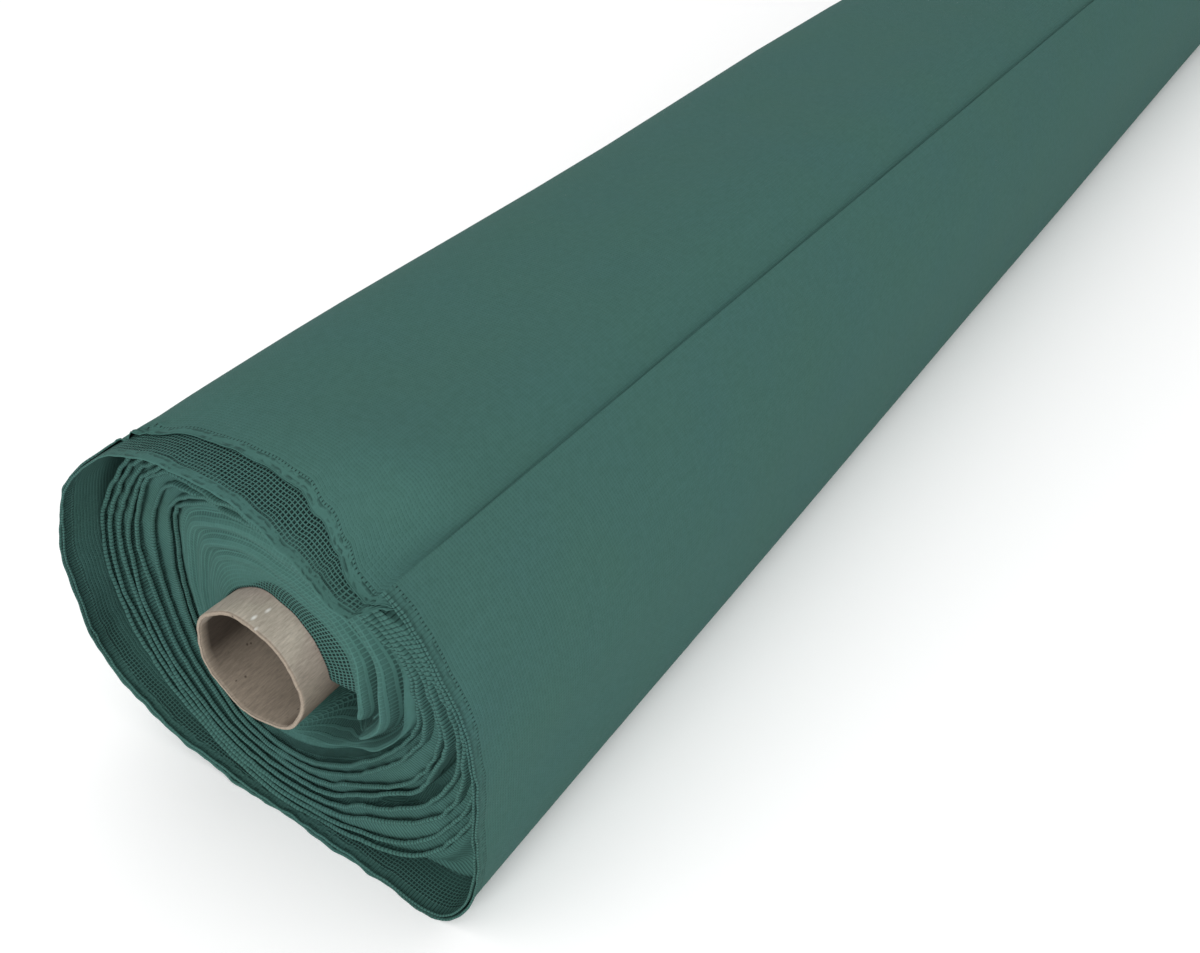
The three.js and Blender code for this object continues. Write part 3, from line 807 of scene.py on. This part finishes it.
def paperboard(name, look):
    # Spiral-wound grey paperboard: pressed waste paper, matt, with fibres and flecks, and specks of glue
    # whose glints are painted highlights
    material, tree = newMaterial(name)
    place = addNode(tree, "TexCoord").outputs["Object"]
    offset = addNode(tree, "Mapping", {"Vector": place, "Location": tuple(-coreEnd)}).outputs[0]
    axes = addNode(tree, "SeparateXYZ", {0: offset})
    aside, down, up = (axes.outputs[key] for key in "XYZ")
    cloud = cloudy(tree, place, 110, 4, 0.6)
    base = blend(tree, cloud, linear(look["dark"]), linear(look["light"]))
    rosy = ramp(tree, cloudy(tree, place, 38, 1), 0.52, 0.7, toHigh=0.6)
    base = blend(tree, rosy, base, linear(look["rose"]))
    base = blend(tree, ramp(tree, up, 0.017, -0.012), base, linear(look["under"]))  # painted shade, darker lower down its side

    # Painted shade inside the bore: it is darker, most of all at its top and deep down
    radius = vectors(tree, "LENGTH", addNode(tree, "CombineXYZ", {0: aside, 2: up}).outputs[0])
    isInside = ramp(tree, radius, (coreRadius - 0.7) / 1000, (coreRadius - 1.0) / 1000)
    upper = sums(tree, "MULTIPLY", ramp(tree, up, -0.015, -0.003), ramp(tree, down, 0.001, 0.004))
    boreShadeMask = sums(tree, "MAXIMUM", upper, ramp(tree, down, 0.02, 0.08))
    bore = blend(tree, boreShadeMask, linear(look["inside"]), linear(look["deep"]))
    base = blend(tree, isInside, base, bore)
    # Painted shade: the cut rim is painted darker, as it faces the lamp
    base = blend(tree, ramp(tree, down, 0.001, 0.0004), base, linear(look["rim"]))

    fibreMap = addNode(tree, "Mapping", {
        "Vector": place, "Rotation": (0.5, 0, 0.7), "Scale": (1, 0.16, 1)}).outputs[0]
    fibre = cloudy(tree, fibreMap, 1500, 3, 0.7)
    base = blend(tree, 1.0, base, ramp(tree, fibre, 0.3, 0.7, 0.78, 1.18), blend_type="MULTIPLY")
    fleck = addNode(tree, "TexVoronoi", {"Vector": place, "Scale": 260}, feature="F1").outputs["Distance"]
    rare = ramp(tree, cloudy(tree, place, 200, 0), 0.55, 0.62)
    fleck = sums(tree, "MULTIPLY", ramp(tree, fleck, 0.16, 0.07), rare)
    base = blend(tree, fleck, base, linear(look["speck"]))
    # Painted highlights: three small near-white glints on the rim
    for spot in look["glints"]:
        gap = vectors(tree, "SUBTRACT", offset, tuple(value / 1000 for value in spot))
        gap = vectors(tree, "LENGTH", vectors(tree, "MULTIPLY", gap, (1, 0.45, 1)))
        base = blend(tree, ramp(tree, gap, 0.0008, 0.0003, toHigh=0.8), base, linear(look["glint"]))

    rough = ramp(tree, cloud, 0, 1, 0.78, 0.95)
    bump = addNode(tree, "Bump", {"Height": fibre, "Strength": 0.35, "Distance": 0.0003}).outputs["Normal"]
    shader = addNode(tree, "BsdfPrincipled", {
        "Base Color": base, "Roughness": rough, "Specular IOR Level": 0.3, "Normal": bump})
    addNode(tree, "OutputMaterial", {"Surface": shader.outputs[0]})
    return material


paperCore = buildCore(coreShape)
paperCore.data.materials.append(paperboard("spiral_paperboard", boardLook))
print("core made")

# Each piece goes on the root body, and the CAD part it stands for is hidden
for piece, node, slotName in (
    (paperCore, "core_tube", "paperboard"),
    (packedTurns, "net_roll", "wound_net"),
    (lastTurnNet, "net_loose_turn", "loose_net"),
):
    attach(piece, "root")
    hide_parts(node)

studio = {
    "floor": "#FFFFFF",
    "world": 0.98,
    "softbox": {"place": (0.45, -1.7, 0.65), "size": 1.2, "power": 26},
}


def buildStudio(look):
    bm = bmesh.new()
    bmesh.ops.create_grid(bm, x_segments=8, y_segments=8, size=6)
    bmesh.ops.translate(bm, verts=bm.verts[:], vec=(0, 0, cadLow.z - 0.0002))
    mesh = bpy.data.meshes.new("studio_floor")
    bm.to_mesh(mesh)
    bm.free()
    floor = bpy.data.objects.new("studio_floor", mesh)
    bpy.context.scene.collection.objects.link(floor)
    material, tree = newMaterial("seamless_paper")
    shader = addNode(tree, "BsdfPrincipled", {
        "Base Color": linear(look["floor"]), "Roughness": 0.9, "Specular IOR Level": 0.1})
    addNode(tree, "OutputMaterial", {"Surface": shader.outputs[0]})
    mesh.materials.append(material)
    world = bpy.data.worlds.new("studio_world")
    world.use_nodes = True
    world.node_tree.nodes["Background"].inputs[0].default_value = (1, 1, 1, 1)
    world.node_tree.nodes["Background"].inputs[1].default_value = look["world"]
    bpy.context.scene.world = world
    box = look["softbox"]
    light = bpy.data.lights.new("softbox", "AREA")
    light.shape, light.size, light.energy = "DISK", box["size"], box["power"]
    lamp = bpy.data.objects.new("softbox", light)
    lamp.location = coreEnd + Vector(box["place"])
    lamp.rotation_euler = (coreEnd - lamp.location).to_track_quat("-Z", "Y").to_euler()
    bpy.context.scene.collection.objects.link(lamp)
    bpy.context.scene.view_settings.view_transform = "Standard"


buildStudio(studio)
print("studio lit")
